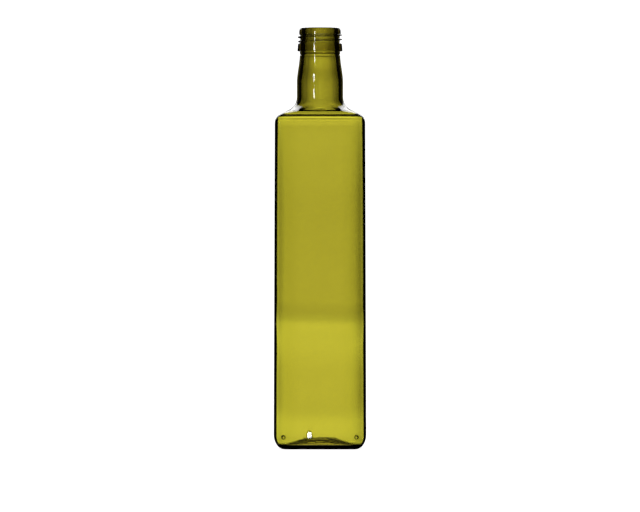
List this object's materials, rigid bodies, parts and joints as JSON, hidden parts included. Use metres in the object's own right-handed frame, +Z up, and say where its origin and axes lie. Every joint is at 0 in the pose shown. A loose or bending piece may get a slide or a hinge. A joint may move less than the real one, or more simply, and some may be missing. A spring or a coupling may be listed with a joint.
{
  "type": "square oil bottle",
  "caption": "Tall square bottle of green glass for oil, with a sloping shoulder, a short round neck and a screw finish, open and empty.",
  "frame": {"origin": "on the bottle's axis, at the height of the ring that it stands on", "axes": "+Z up along the bottle's axis, X and Y square to its flat sides, with -Y to the front"},
  "size_m": [0.0656, 0.0656, 0.3],
  "materials": {
    "green_glass": "clear, fire-polished olive green bottle glass"
  },
  "bodies": {
    "root": {"bottle": "green_glass"}
  },
  "joints": []
}
